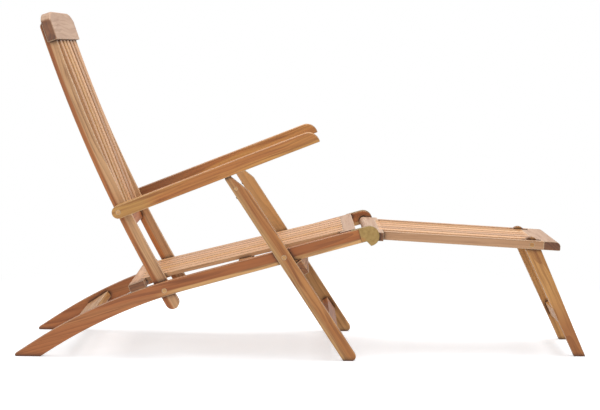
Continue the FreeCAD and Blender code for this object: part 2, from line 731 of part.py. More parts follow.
def foot_leg_outline():
    """The corners of a footrest leg: its head's rear, its toes and its head's front."""
    floor = meet(FOOT_PIVOT, FOOT_LEG_ANGLE, (0, 0), 0)
    rear_toe = (floor[0] - FOOT_LEG_TOE_WIDTH / 2, 0.0)
    front_toe = (floor[0] + FOOT_LEG_TOE_WIDTH / 2, 0.0)
    return foot_leg(0, -FOOT_LEG_RADIUS), rear_toe, front_toe, foot_leg(0, FOOT_LEG_RADIUS)


def foot_stop():
    """How far along the footrest the open legs' front edges come to rest on the front board."""
    rear, rear_toe, toe, front = foot_leg_outline()
    bottom = footrest(0, FOOTREST_TOP - FOOTREST_DEPTH)
    lean = degrees(atan2(front[1] - toe[1], front[0] - toe[0]))
    hit = meet(toe, lean, bottom, FOOTREST_ANGLE)
    return hypot(hit[0] - bottom[0], hit[1] - bottom[1]) + FOOT_STOP_CLEAR


def footrest_front_board(slats):
    """A wide board, cut back at both ends for the side rails and for the legs' heads."""
    bottom = FOOTREST_TOP - FOOTREST_DEPTH
    corners = [
        footrest(FOOTREST_BOARD_START, bottom),
        (*footrest(FOOTREST_END, bottom), 4.0),
        (*footrest(FOOTREST_END, FOOTREST_TOP), FOOTREST_NOSE_RADIUS),
        footrest(FOOTREST_BOARD_START, FOOTREST_TOP),
    ]
    board = slab(rounded(corners), -FOOTREST_HALF_WIDTH, FOOTREST_HALF_WIDTH)
    heights = (bottom - 1.0, FOOTREST_TOP + 1.0)
    lane = FOOT_LEG_INNER - FOOT_LEG_GAP
    cuts = list(slats)
    for side in SIDES.values():
        rail_span = sided(side, FOOTREST_RAIL_INNER, FOOTREST_HALF_WIDTH)
        lane_span = sided(side, lane, FOOTREST_RAIL_INNER)
        cuts.append(bar(footrest, FOOTREST_BOARD_START, FOOTREST_RAIL_END, *heights, *rail_span))
        cuts.append(bar(footrest, FOOTREST_BOARD_START, foot_stop(), *heights, *lane_span))
    return board.cut(group(cuts))


def footrest_leg(side):
    """A leg that tapers from a round head at its pin to its foot."""
    rear, rear_toe, toe, front = [point(p) for p in foot_leg_outline()]
    crown = point(foot_leg(-FOOT_LEG_RADIUS, 0))
    edges = [
        Part.LineSegment(rear, rear_toe).toShape(),
        Part.LineSegment(rear_toe, toe).toShape(),
        Part.LineSegment(toe, front).toShape(),
        Part.Arc(front, crown, rear).toShape(),
    ]
    blank = slab(Part.Face(Part.Wire(edges)), *sided(side, FOOT_LEG_INNER, FOOT_LEG_OUTER))
    return blank.cut(bore(FOOT_PIVOT, BOLT_RADIUS + BORE_CLEAR, side, FOOT_LEG_INNER + 1.0, FOOT_LEG_OUTER))


def footrest_leg_stretcher():
    half = FOOT_STRETCHER_THICK / 2
    span = (FOOT_STRETCHER_START, FOOT_STRETCHER_START + FOOT_STRETCHER_WIDTH, -half, half)
    return bar(foot_leg, *span, -FOOT_LEG_INNER, FOOT_LEG_INNER)


# The whole chair


def both(make):
    return group([make(side) for side in SIDES.values()])


def numbered(name, solids):
    return {f"{name}_{i + 1}": solid for i, solid in enumerate(solids)}


def back_pivot_bolt(side):
    nut = bore(BACK_PIVOT, BOLT_HEAD_RADIUS, side, STILE_INNER - NUT_HEIGHT, STILE_INNER - FACE_CLEAR)
    ring = washer(BACK_PIVOT, WASHER_RADIUS, side, STILE_OUTER + FACE_CLEAR, RAIL_INNER)
    return bolt(BACK_PIVOT, side, PLUG_SEAT, STILE_INNER - NUT_HEIGHT).fuse(nut).fuse(ring)


def front_leg_pivot_bolt(side):
    tip = LEG_OUTER - PLUG_LENGTH - FACE_CLEAR
    nut = bore(LEG_PIVOT, BOLT_HEAD_RADIUS, side, tip - BOLT_HEAD_HEIGHT, tip)
    ring = washer(LEG_PIVOT, WASHER_RADIUS, side, FRAME_HALF_WIDTH, LEG_INNER - FACE_CLEAR)
    return bolt(LEG_PIVOT, side, RAIL_INNER, tip).fuse(nut).fuse(ring)


def arm_bolt(side):
    """The bolt that an armrest turns on, sunk in the stile, with its nut inside the arm."""
    nut = bore(ARM_PIVOT, BOLT_HEAD_RADIUS, side, ARM_NUT + FACE_CLEAR, ARM_NUT + BOLT_HEAD_HEIGHT)
    shank = bolt(ARM_PIVOT, side, STILE_INNER + FACE_CLEAR, ARM_NUT + BOLT_HEAD_HEIGHT)
    return shank.fuse(nut)


def arm_spacer(side):
    return washer(ARM_PIVOT, SPACER_RADIUS, side, STILE_OUTER + FACE_CLEAR, ARM_INNER - FACE_CLEAR)


def footrest_leg_pin(side):
    head_at = FOOTREST_HALF_WIDTH - PLUG_LENGTH
    return bolt(FOOT_PIVOT, side, head_at, FOOT_LEG_INNER + 1.0 + FACE_CLEAR)


def fasteners():
    foot_plug = FOOT_PLUG_RADIUS
    made = {
        "back_pivot_bolts": both(back_pivot_bolt),
        "side_rail_plugs": both(lambda side: plug(BACK_PIVOT, PLUG_RADIUS, side, FRAME_HALF_WIDTH)),
        "front_leg_pivot_bolts": both(front_leg_pivot_bolt),
        "front_leg_plugs": group([leg_plugs(side) for side in SIDES.values()]),
        "footrest_leg_pins": both(footrest_leg_pin),
        "footrest_plugs": both(lambda side: plug(FOOT_PIVOT, foot_plug, side, FOOTREST_HALF_WIDTH)),
        "knee_dowels": both(knee_dowel),
    }
    for name, side in SIDES.items():
        made[f"arm_bolt_{name}"] = arm_bolt(side)
        made[f"arm_spacer_{name}"] = arm_spacer(side)
        made[f"arm_plug_{name}"] = plug(ARM_PIVOT, PLUG_RADIUS, side, ARM_OUTER)
    return made


def pieces():
    slats = seat_slats()
    uprights = back_slats()
    foot_slats = footrest_slats()
    made = {}
    for name, side in SIDES.items():
        made[f"side_rail_{name}"] = side_rail(side)
        made[f"knee_plate_{name}"] = knee_plate(side)
        made[f"back_stile_{name}"] = back_stile(side)
        made[f"armrest_{name}"] = armrest(side)
        made[f"front_leg_{name}"] = front_leg(side)
        made[f"footrest_rail_{name}"] = footrest_rail(side)
        made[f"footrest_leg_{name}"] = footrest_leg(side)
    made["seat_front_board"] = seat_front_board(slats)
    made["seat_rear_board"] = seat_rear_board(slats)
    made["seat_bearer"] = seat_bearer()
    made["rear_leg_stretcher"] = rear_leg_stretcher()
    made.update(numbered("seat_slat", slats))
    made["headrest_board"] = headrest_board(uprights)
    made["back_lower_rail"] = back_lower_rail()
    made.update(numbered("back_slat", uprights))
    made["leg_stop_board"] = stop_board()
    made["front_leg_stretcher"] = leg_stretcher()
    made["arm_pegs"] = both(arm_peg)
    made["peg_screws"] = both(peg_screw)
    made["footrest_rear_board"] = footrest_rear_board(foot_slats)
    made["footrest_front_board"] = footrest_front_board(foot_slats)
    made.update(numbered("footrest_slat", foot_slats))
    made["footrest_leg_stretcher"] = footrest_leg_stretcher()
    made.update(fasteners())
    return made


def write(made):
    os.makedirs("parts", exist_ok=True)
    for name, shape in made.items():
        shape.exportStep(f"parts/{name}.step")


write(pieces())
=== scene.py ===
# %% [markdown]
# # A teak steamer deck chair
#
# This lesson finishes a chair whose shapes already exist.
# Each rail, slat and leg arrives as its own object, in metres, standing on the floor at Z = 0.
# What is left for Blender is everything that makes it read as oiled teak and dull brass:
# the grain that runs along each board, the difference from board to board, painted highlights
# on the arrises, painted shade in the gaps between slats, and the redder end grain.

# %% Load the frame
from math import cos, radians, sin

import bpy
import numpy as np
from mathutils import Matrix, Vector


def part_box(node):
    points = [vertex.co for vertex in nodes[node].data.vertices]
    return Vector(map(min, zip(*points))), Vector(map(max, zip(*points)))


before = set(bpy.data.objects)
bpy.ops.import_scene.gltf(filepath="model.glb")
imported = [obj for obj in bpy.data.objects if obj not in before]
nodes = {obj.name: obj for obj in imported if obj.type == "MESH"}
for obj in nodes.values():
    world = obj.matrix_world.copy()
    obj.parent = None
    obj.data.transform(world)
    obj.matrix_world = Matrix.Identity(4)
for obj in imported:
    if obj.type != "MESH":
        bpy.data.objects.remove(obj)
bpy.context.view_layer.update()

# %% [markdown]
# Colours are written as sRGB hex, the way a colour picker shows them.
# Shaders work in linear light, so one function turns the one into the other.


# %% Hex to linear
def linear(hex_colour):
    """An sRGB hex colour as linear RGBA."""
    channels = [int(hex_colour[i:i + 2], 16) / 255 for i in (1, 3, 5)]
    return (*[c / 12.92 if c <= 0.04045 else ((c + 0.055) / 1.055) ** 2.4 for c in channels], 1.0)


print("teak side face", [round(c, 3) for c in linear("#B0703C")])

# %% [markdown]
# A material is a graph of nodes, and every graph needs the same small step many times:
# make a node, set it, and plug things into it.
# One helper does that, so that the graphs below read like a recipe.
# The settings that come back again and again get short names.
# In a Mix node of colours, inputs 6 and 7 are the two colours, and output 2 is the mixed one.


# %% Add a node
def add(tree, kind, settings=None, **inputs):
    """A shader node of that kind. An input is named with _ for a space, or numbered as in _2.

    An input that is given a socket is linked to it. Any other value is set on it.
    """
    node = tree.nodes.new("ShaderNode" + kind)
    for name, value in (settings or {}).items():
        setattr(node, name, value)
    for name, value in inputs.items():
        socket = node.inputs[int(name[1:]) if name[0] == "_" else name.replace("_", " ")]
        if isinstance(value, bpy.types.NodeSocket):
            tree.links.new(value, socket)
        else:
            socket.default_value = value
    return node


PLUS, MINUS, TIMES, OVER, TIMES_PLUS, LENGTH, DOT, LARGER = (
    {"operation": word} for word in
    ("ADD", "SUBTRACT", "MULTIPLY", "DIVIDE", "MULTIPLY_ADD", "LENGTH", "DOT_PRODUCT", "MAXIMUM")
)
COLOURS = {"data_type": "RGBA"}
print("a product is written", TIMES, "and a mix of colours", COLOURS)


# %% Start a material
def started(name):
    """A new material whose graph is empty, and that graph."""
    material = bpy.data.materials.new(name)
    material.use_nodes = True
    material.node_tree.nodes.clear()
    return material, material.node_tree


print("materials before the first finish", len(bpy.data.materials))

# %% [markdown]
# Wood looks alike on no two boards, because each is cut from another place in a tree.
# A board's grain can be made by treating the wood as a real solid: growth rings round a pith,
# with the board cut out of it lengthways. The faces then show long streaks or cathedral arches,
# and the ends show rings, with no image and no seams.
# For that, each board needs to know its own length direction and its own place in the tree.
# A UV map would be lost on the end grain, so three numbers per vertex are stored instead:
# how far along, across and through the board it lies, in millimetres.
# The directions come from the chair's side view, as the angles at which its parts rise.


# %% Directions of the boards
def along(angle):
    """The direction in the chair's side view that rises by that angle, in degrees."""
    return Vector((cos(radians(angle)), 0, sin(radians(angle))))


ACROSS = Vector((0, 1, 0))
SEAT, SEAT_SLATS, BACK, BACK_SLATS, HEAD = 15.8, 14.2, 114.45, 111.6, 108.95
ARM, FRONT_LEG, REAR_LEG, FOOTREST, FOOT_LEG = 21.7, 123.5, 33.5, -3.04, -65.43

# lengthways boards, by the start of their names. All the others lie across the chair
GRAIN = {
    "side_rail": along(SEAT), "seat_slat": along(SEAT_SLATS),
    "back_stile": along(BACK), "back_slat": along(BACK_SLATS), "armrest": along(ARM),
    "front_leg_left": along(FRONT_LEG), "front_leg_right": along(FRONT_LEG),
    "footrest_rail": along(FOOTREST), "footrest_slat": along(FOOTREST),
    "footrest_leg_left": along(FOOT_LEG), "footrest_leg_right": along(FOOT_LEG),
    "arm_plug": along(ARM), "front_leg_plugs": along(FRONT_LEG), "footrest_plugs": along(FOOTREST),
}
# which way the thickness of a cross board points
UPRIGHT = 90.0
THROUGH = {
    "seat": SEAT + 90, "headrest": HEAD - 90, "back_lower": BACK - 90, "rear_leg": REAR_LEG + 90,
    "leg_stop": FRONT_LEG - 90, "front_leg": FRONT_LEG - 90, "footrest": FOOTREST + 90,
}
print("boards with a lengthways angle", sorted(GRAIN))


# %% Find a board's directions by its name
def looked_up(choices, name, default):
    """The value of the longest key that starts the name."""
    keys = [key for key in choices if name.startswith(key)]
    return choices[max(keys, key=len)] if keys else default


def directions(name):
    """The way along that board, and the way through its thickness."""
    lengthways = looked_up(GRAIN, name, ACROSS)
    if lengthways is ACROSS:
        return ACROSS, along(looked_up(THROUGH, name, UPRIGHT))
    if "slat" in name:
        return lengthways, ACROSS.cross(lengthways).normalized()
    return lengthways, ACROSS


print("headboard", [[round(v, 2) for v in way] for way in directions("headrest_board")])

# %% [markdown]
# Not every piece is wood. The hinges' plates, bolts, pins, pegs and spacers are brass,
# and two small screws are steel. The names tell them apart.

# %% Pieces of metal
BRASS_NODES = ("knee_plate", "back_pivot_bolts", "front_leg_pivot_bolts", "arm_bolt", "arm_spacer",
               "arm_pegs", "footrest_leg_pins")
STEEL_NODES = ("peg_screws",)
print("metal nodes", sum(name.startswith(BRASS_NODES + STEEL_NODES) for name in nodes))

# %% [markdown]
# The numbers are stored on the mesh as a vector attribute called grain,
# and the board's direction as another called lengthways, which finds the end grain later.
# Adding an attribute doesn't move a vertex, so the shape stays what it was.
# Two kinds of board are not straight, and their grain differs for a reason:
# a stile was bent with steam, so its grain follows the bow,
# and a side rail was sawn to its curve, so the curve cuts through straight grain.

# %% Where the middle of a curved board runs
CELL_MM, WHOLE_MM, STRAIGHT_SHARE = 60.0, 30.0, 0.6


def halfway(widths):
    """The middle between the narrowest and widest of these places."""
    return (widths.min() + widths.max()) / 2


def bow(values):
    """How far the middle of a bent board stands aside, at each place along it.

    A curve is fitted through the middles of its 60 mm cells, without those that show only one edge.
    """
    cells = np.round(values[:, 0] / CELL_MM)
    rows = [row for row in (values[cells == c] for c in np.unique(cells)) if np.ptp(row[:, 1]) > WHOLE_MM]
    curve = np.polyfit([row[:, 0].mean() for row in rows], [halfway(row[:, 1]) for row in rows], 2)
    return np.polyval(curve, values[:, 0])


def straight_middle(values):
    """The middle of the straight front end of a board that is sawn to a curve farther back."""
    return halfway(values[values[:, 0] > STRAIGHT_SHARE * values[:, 0].max(), 1])


print("cells of", CELL_MM, "mm that are at least", WHOLE_MM, "mm wide")


# %% Measure each board along its grain
def measure(obj, lengthways, normal):
    """Stores, for each vertex, millimetres along, across and through the board, from its middle."""
    mesh = obj.data
    widthways = normal.cross(lengthways).normalized()
    low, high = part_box(obj.name)
    middle = (Vector(low) + Vector(high)) / 2
    offsets = [(vertex.co - middle) * 1000 for vertex in mesh.vertices]
    values = np.array([[o.dot(lengthways), o.dot(widthways), o.dot(normal)] for o in offsets])
    if obj.name.startswith("back_stile"):
        values[:, 1] -= bow(values)
    if obj.name.startswith("side_rail"):
        values[:, 1] -= straight_middle(values)
    mesh.attributes.new("grain", "FLOAT_VECTOR", "POINT").data.foreach_set("vector", values.ravel())
    direction = mesh.attributes.new("lengthways", "FLOAT_VECTOR", "POINT")
    direction.data.foreach_set("vector", list(lengthways) * len(mesh.vertices))
    return np.ptp(values[:, 0])


wooden = [name for name in sorted(nodes) if not name.startswith(BRASS_NODES + STEEL_NODES)]
lengths = {name: measure(nodes[name], *directions(name)) for name in wooden}
print("wooden nodes", len(wooden), "longest", round(max(lengths.values())), "mm")

# %% [markdown]
# Oiled teak is golden to orange-brown, with darker late wood in thin lines.
# It was planed and lightly sanded, which leaves the faces satin and the pores open.
# Each feature of the wood gets a short function of its own.
# The first is the growth rings. Early wood rises slowly to late wood, which ends sharply.
# A trunk grows unevenly, so its rings wander, and a board shows long arches and not ruled lines.
# Some rings also come out darker than others.
# They are drawn 8 to 12 mm apart, coarser than in most teak, because finer ones would not show.

# %% Growth rings
FOUR_D = {"noise_dimensions": "4D"}
WAVE_MM, WANDER_MM, TAPER = (300, 55), 34.0, 0.04


def per_mm(length, width):
    """The scale of a pattern that is that long and wide on the board, in millimetres."""
    return 1 / length, 1 / width, 1 / width


def wandering(tree, moved, seed):
    """The place in the trunk, pulled aside by the slow wander of the rings."""
    slow = add(tree, "VectorMath", TIMES, _0=moved, _1=per_mm(*WAVE_MM)).outputs[0]
    wander = add(tree, "TexNoise", FOUR_D, Vector=slow, W=seed, Scale=1.0, Detail=2.0, Roughness=0.4)
    pull = add(tree, "VectorMath", MINUS, _0=wander.outputs["Color"], _1=(0.5, 0.5, 0.5)).outputs[0]
    pull = add(tree, "VectorMath", TIMES, _0=pull, _1=(0.0, WANDER_MM, WANDER_MM)).outputs[0]
    return add(tree, "VectorMath", PLUS, _0=moved, _1=pull).outputs[0]


def late_wood(tree, bent, ring_mm):
    """How much late wood there is, from 0 to 1. The rings taper slowly along the trunk."""
    trunk = add(tree, "VectorMath", TIMES, _0=bent, _1=(TAPER, 1.0, 1.0)).outputs[0]
    radius = add(tree, "VectorMath", LENGTH, _0=trunk).outputs["Value"]
    turns = add(tree, "Math", OVER, _0=radius, _1=ring_mm).outputs[0]
    ring = add(tree, "Math", {"operation": "FRACT"}, _0=turns).outputs[0]
    ring = add(tree, "Math", {"operation": "POWER"}, _0=ring, _1=2.0).outputs[0]
    number = add(tree, "Math", {"operation": "FLOOR"}, _0=turns).outputs[0]
    uneven = add(tree, "TexWhiteNoise", {"noise_dimensions": "1D"}, W=number).outputs["Value"]
    uneven = add(tree, "MapRange", Value=uneven, To_Min=0.1).outputs[0]
    return add(tree, "Math", TIMES, _0=ring, _1=uneven).outputs[0]


print("the rings wander by up to", WANDER_MM / 2, "mm each way, in waves of", WAVE_MM, "mm")

# %% [markdown]
# Between the rings lie finer marks. Streaks of mineral and oil are about 8 mm wide and 260 mm long.
# Pores are open vessels, dark dashes that run with the grain. A real pore is 0.3 mm wide,
# too fine to show here, so the dashes are drawn 2 mm wide and 110 mm long.
# Heartwood turns paler and darker again in broad bands of about 30 mm.

# %% Streaks, pores and heartwood
STREAK_MM, PORE_MM, HEART_MM = (260, 8), (110, 2), (600, 30)


def streaks_in(tree, bent, seed):
    """Long streaks that follow the rings' wander, from 0 to 1."""
    place = add(tree, "VectorMath", TIMES, _0=bent, _1=per_mm(*STREAK_MM)).outputs[0]
    noise = add(tree, "TexNoise", FOUR_D, Vector=place, W=seed, Scale=1.0, Detail=3.0, Roughness=0.55)
    return noise.outputs["Fac"]


def pores_in(tree, moved, seed):
    """Straight dashes, 1 where a pore is open."""
    place = add(tree, "VectorMath", TIMES, _0=moved, _1=per_mm(*PORE_MM)).outputs[0]
    noise = add(tree, "TexNoise", FOUR_D, Vector=place, W=seed, Scale=1.0, Detail=1.0).outputs["Fac"]
    return add(tree, "MapRange", Value=noise, From_Min=0.55, From_Max=0.75).outputs[0]


def heart_in(tree, bent, seed):
    """Broad bands, 0 in paler wood and 1 in darker."""
    place = add(tree, "VectorMath", TIMES, _0=bent, _1=per_mm(*HEART_MM)).outputs[0]
    noise = add(tree, "TexNoise", FOUR_D, Vector=place, W=seed, Scale=1.0, Detail=1.0).outputs["Fac"]
    return add(tree, "MapRange", Value=noise, From_Min=0.38, From_Max=0.62).outputs[0]


print("mm along and across: streaks", STREAK_MM, "pores", PORE_MM, "heartwood", HEART_MM)

# %% [markdown]
# Some boards pass from heartwood to golden wood across their width, along a nearly straight line,
# and some change their tone along their length. Both are mixed into the ground colour,
# before the lines of the grain are drawn over it.

# %% Bands and fades
WAVER_MM = 8.0


def banded(tree, colour, place, streaks, band):
    """The colour, with another between two places across the board, in mm.

    The waver moves both edges outwards by up to 8 mm. The first is 4 mm soft, and the second 14 mm.
    """
    start, end, other = band
    width = add(tree, "SeparateXYZ", _0=place).outputs["Y"]
    waver = add(tree, "Math", TIMES_PLUS, _0=streaks, _1=WAVER_MM, _2=width).outputs[0]
    starts = add(tree, "MapRange", Value=waver, From_Min=start + 2.0, From_Max=start + 6.0).outputs[0]
    ends = add(tree, "MapRange", Value=waver, From_Min=end + 14.0, From_Max=end).outputs[0]
    inside = add(tree, "Math", TIMES, _0=starts, _1=ends).outputs[0]
    return add(tree, "Mix", COLOURS, _0=inside, _6=colour, _7=linear(other)).outputs[2]


def faded(tree, colour, place, fade):
    """The colour, turning to another along the board, from the first place in mm to the second."""
    start, end, other, strength = fade
    length = add(tree, "SeparateXYZ", _0=place).outputs["X"]
    share = add(tree, "MapRange", Value=length, From_Min=start, From_Max=end, To_Max=strength).outputs[0]
    return add(tree, "Mix", COLOURS, _0=share, _6=colour, _7=linear(other)).outputs[2]


print("the edge of a band wavers over", WAVER_MM, "mm")

# %% [markdown]
# Late wood, streaks and pores are all darker than the ground, each by its own share.
# A streaky board has more of the first two.

# %% Lines of the grain
PORE_BROWN, PORE_SHARE = "#5A3018", 0.14


def grained(tree, colour, dark, streaky, late, streaks, pores):
    """The colour with late wood, streaks and pores drawn over it."""
    weight = add(tree, "Math", TIMES, _0=late, _1=0.3 + 0.3 * streaky).outputs[0]
    colour = add(tree, "Mix", COLOURS, _0=weight, _6=colour, _7=linear(dark)).outputs[2]
    most = 0.3 + 0.55 * streaky
    streak = add(tree, "MapRange", Value=streaks, From_Min=0.5, From_Max=0.72, To_Max=most).outputs[0]
    colour = add(tree, "Mix", COLOURS, _0=streak, _6=colour, _7=linear(dark)).outputs[2]
    dash = add(tree, "Math", TIMES, _0=pores, _1=PORE_SHARE).outputs[0]
    return add(tree, "Mix", COLOURS, _0=dash, _6=colour, _7=linear(PORE_BROWN)).outputs[2]


print("pores", [round(c, 3) for c in linear(PORE_BROWN)], "mixed in by", PORE_SHARE)

# %% [markdown]
# The ends of a board drink oil, so they are darker and redder, and show the rings as arcs.
# A face is an end where its normal points along the board.
# The normal is compared with the stored direction, so the same material works on every board.

# %% End grain
END_EARLY, END_LATE = "#80491F", "#4E2614"


def end_grained(tree, colour, normal, late, heart):
    """The colour, turning to end grain where the face looks along the board."""
    axis = add(tree, "Attribute", {"attribute_name": "lengthways"}).outputs["Vector"]
    facing = add(tree, "VectorMath", DOT, _0=normal, _1=axis).outputs["Value"]
    facing = add(tree, "Math", {"operation": "ABSOLUTE"}, _0=facing).outputs[0]
    ending = add(tree, "MapRange", Value=facing, From_Min=0.6, From_Max=0.95, To_Max=0.85).outputs[0]
    figure = add(tree, "Math", TIMES_PLUS, _0=heart, _1=0.5, _2=late).outputs[0]
    rings = add(tree, "Mix", COLOURS, _0=figure, _6=linear(END_EARLY), _7=linear(END_LATE)).outputs[2]
    return add(tree, "Mix", COLOURS, _0=ending, _6=colour, _7=rings).outputs[2]


print("end grain from", END_EARLY, "to", END_LATE)

# %% [markdown]
# In the gaps and corners, within about 15 mm, painted shade darkens the wood where shade falls.
# The arrises were sanded round, and a painted highlight keeps them paler than the faces, over about 3 mm.
# Ambient occlusion finds the corners. The Bevel node finds the arrises: its normal is rounded there,
# so it turns away from the face's own.

# %% Gaps and arrises
GAP_M, ARRIS_M = 0.015, 0.003
# the colours of the painted shade in gaps and of the painted highlight on arrises
PAINTED_SHADE_COLOUR, PAINTED_HIGHLIGHT_COLOUR = "#32190C", "#E9CBA6"


def painted_shade_and_highlight(tree, colour, normal, rounded_normal):
    """The colour with painted shade in the gaps and a painted highlight on the arrises. Arrises that lie
    in a gap get no highlight.
    """
    ao_share = add(tree, "AmbientOcclusion", {"samples": 8}, Distance=GAP_M).outputs["AO"]
    painted_gap_shade = add(tree, "MapRange", Value=ao_share, From_Min=0.5, From_Max=0.95, To_Min=0.96, To_Max=0.0)
    # painted shade: the colour turns dark brown where ambient occlusion finds a gap or corner
    colour = add(tree, "Mix", COLOURS, _0=painted_gap_shade.outputs[0], _6=colour, _7=linear(PAINTED_SHADE_COLOUR)).outputs[2]
    turned = add(tree, "VectorMath", DOT, _0=normal, _1=rounded_normal).outputs["Value"]
    painted_highlight = add(tree, "MapRange", Value=turned, From_Min=0.995, From_Max=0.9, To_Max=0.85).outputs[0]
    open_air = add(tree, "MapRange", Value=ao_share, From_Min=0.6, From_Max=0.95).outputs[0]
    painted_highlight = add(tree, "Math", TIMES, _0=painted_highlight, _1=open_air).outputs[0]
    # painted highlight: the colour turns pale along arrises in the open
    return add(tree, "Mix", COLOURS, _0=painted_highlight, _6=colour, _7=linear(PAINTED_HIGHLIGHT_COLOUR)).outputs[2]


print("grime within", GAP_M * 1000, "mm, arrises over", ARRIS_M * 1000, "mm")

# %% [markdown]
# All the features meet in one material. Sanded, oiled wood is satin, with a roughness of about 0.5,
# a little more where a streak is dry. Its IOR is that of the oil, 1.47.
# The streaks stand up a little and the pores sink in, within 0.2 mm.

# %% Oiled teak
TEAK_ROUGH, OIL_IOR, RELIEF_M = 0.5, 1.47, 0.0002


def oiled_teak(name, light, mid, dark, ring_mm, pith, seed, streaky, band=None, fade=None):
    """Teak cut from a trunk whose pith lies at that place across and through the board, in mm.

    A band is (start and end across the board in mm, colour between them).
    A fade is (start and end along the board in mm, colour past the end, its strength).
    """
    material, tree = started(name)
    place = add(tree, "Attribute", {"attribute_name": "grain"}).outputs["Vector"]
    moved = add(tree, "VectorMath", PLUS, _0=place, _1=(0.0, *pith)).outputs[0]
    bent = wandering(tree, moved, seed)
    late = late_wood(tree, bent, ring_mm)
    streaks = streaks_in(tree, bent, seed)
    pores = pores_in(tree, moved, seed)
    heart = heart_in(tree, bent, seed)

    colour = add(tree, "Mix", COLOURS, _0=heart, _6=linear(light), _7=linear(mid)).outputs[2]
    if band:
        colour = banded(tree, colour, place, streaks, band)
    if fade:
        colour = faded(tree, colour, place, fade)
    colour = grained(tree, colour, dark, streaky, late, streaks, pores)
    normal = add(tree, "NewGeometry").outputs["Normal"]
    colour = end_grained(tree, colour, normal, late, heart)
    rounded_normal = add(tree, "Bevel", {"samples": 6}, Radius=ARRIS_M).outputs["Normal"]
    colour = painted_shade_and_highlight(tree, colour, normal, rounded_normal)

    height = add(tree, "Math", TIMES_PLUS, _0=pores, _1=-0.6, _2=streaks).outputs[0]
    bump = add(tree, "Bump", Strength=0.12, Distance=RELIEF_M, Height=height, Normal=rounded_normal)
    rough = add(tree, "MapRange", Value=streaks, To_Min=TEAK_ROUGH - 0.08, To_Max=TEAK_ROUGH + 0.12)
    shader = add(tree, "BsdfPrincipled", Base_Color=colour, Roughness=rough.outputs[0], IOR=OIL_IOR,
                 Normal=bump.outputs["Normal"])
    add(tree, "OutputMaterial", Surface=shader.outputs[0])
    return material


print("roughness from", TEAK_ROUGH - 0.08, "to", TEAK_ROUGH + 0.12)

# %% [markdown]
# The chair's boards fall into families: tan frame members, orange arms, pale and golden slats,
# pinkish wide boards and a few redder ones. Each row of the first list gives the paler and darker
# heartwood, the colour of the lines, and how streaky the family is.
# The second list says which family a board belongs to, by the start of its name.

# %% Families of boards
FAMILIES = {
    "frame": ("#C68C50", "#AA6C36", "#6C3616", 0.8),
    "arm": ("#D09850", "#B47136", "#763A12", 1.0),
    "slat": ("#DBAB7C", "#CC9666", "#92582F", 0.5),
    "board": ("#D0A078", "#BA875C", "#7E4A2C", 0.6),
    "pale": ("#BC9A7E", "#AF8B6F", "#845840", 0.5),
    "golden": ("#D3A064", "#BE8449", "#804A22", 0.6),
    "red": ("#BE763C", "#A6602D", "#6A3414", 0.7),
}
MEMBERS = {
    "frame": ("front_leg_right", "leg_stop", "seat_bearer"),
    "arm": ("armrest", "footrest_leg"),
    "slat": ("seat_slat", "back_slat", "footrest_slat"),
    "board": ("footrest_rail", "seat_rear", "seat_slat_6", "back_slat_4", "footrest_slat_2"),
    "pale": ("headrest", "seat_front", "footrest_front", "footrest_rear"),
    "golden": ("front_leg_left", "rear_leg", "seat_slat_3", "back_slat_2", "footrest_slat_5",
               "side_rail_plugs", "front_leg_plugs", "arm_plug", "footrest_plugs"),
    "red": ("side_rail", "back_stile", "back_lower", "knee_dowels", "front_leg_stretcher",
            "footrest_leg_stretcher"),
}
FAMILY_OF = {start: family for family, starts in MEMBERS.items() for start in starts}
print("families", {family: len(starts) for family, starts in MEMBERS.items()})

# %% [markdown]
# The stiles are orange behind and tan in front. The rails are red above and golden below at the seat,
# and turn to an even red-brown in the rear leg. One arm has a painted shadow that darkens it towards
# the back, where the back shades it. The other has a golden rear end, and one footrest leg turns redder
# towards its foot.

# %% Boards with two tones
BANDS = {
    "back_stile": (-5.0, 90.0, "#D0A070"),
    "side_rail": (2.0, 21.0, "#D8A468"),
    "footrest_leg": (-12.0, 90.0, "#D09858"),
    "front_leg_left": (-90.0, -5.0, "#CC9E68"),
    "front_leg_right": (-90.0, -9.0, "#C2945E"),
}
FADES = {
    "side_rail": (-50.0, -130.0, "#B26C3B", 0.85),
    # painted shadow: this arm darkens towards the back, where the back shades it
    "armrest_left": (-20.0, -200.0, "#7E4A28", 0.8),
    "armrest_right": (-185.0, -235.0, "#C2944F", 0.7),
    "footrest_leg_right": (-20.0, 110.0, "#9C5A2C", 0.75),
}
print("bands across", len(BANDS), "kinds of board, fades along", len(FADES))

# %% [markdown]
# Each board of a family is cut elsewhere in the tree, so neighbours differ.
# Its number in the list of names picks the place of the pith, the width of the rings, the noise,
# and a tone that is up to 4 percent darker or lighter. Nothing is random, so every run is the same:
# remainders after multiplying by a prime jump about as a throw of dice would.

# %% Cut the boards
TONE_STEP = 0.04


def shade(hex_colour, amount):
    """The colour made darker or lighter by that share."""
    parts = [min(255, max(0, round(int(hex_colour[i:i + 2], 16) * (1 + amount)))) for i in (1, 3, 5)]
    return "#" + "".join(f"{p:02X}" for p in parts)


def teak_for(name, number):
    """A board's own teak, from its family, moved and shaded by its number."""
    light, mid, dark, streaky = FAMILIES[looked_up(FAMILY_OF, name, "frame")]
    change = ((number * 37) % 11 - 5) / 5
    colours = [shade(c, TONE_STEP * change) for c in (light, mid, dark)]
    pith = (((number * 53) % 17 - 8) * 9.0, 30.0 + (number * 29) % 90)
    return oiled_teak(f"oiled_teak_{name}", *colours, ring_mm=8.0 + (number * 7) % 5, pith=pith,
                      seed=3.7 * number, streaky=streaky, band=looked_up(BANDS, name, None),
                      fade=looked_up(FADES, name, None))


print("a board's tone may change from", shade("#CC9666", -TONE_STEP), "to", shade("#CC9666", TONE_STEP))

# %% [markdown]
# The brass of the hinges is stamped from sheet or turned from rod. It has dulled to an olive brown,
# with clouds of tarnish about 10 mm across and patches of copper red about 40 mm across.
# Metal keeps its default IOR: its colour is its reflection, and wear shows as roughness.

# %% Dulled brass
BRASS, TARNISH, COPPER_RED, BRASS_ARRIS = "#AB8E5C", "#7C653F", "#A9754B", "#6F6340"


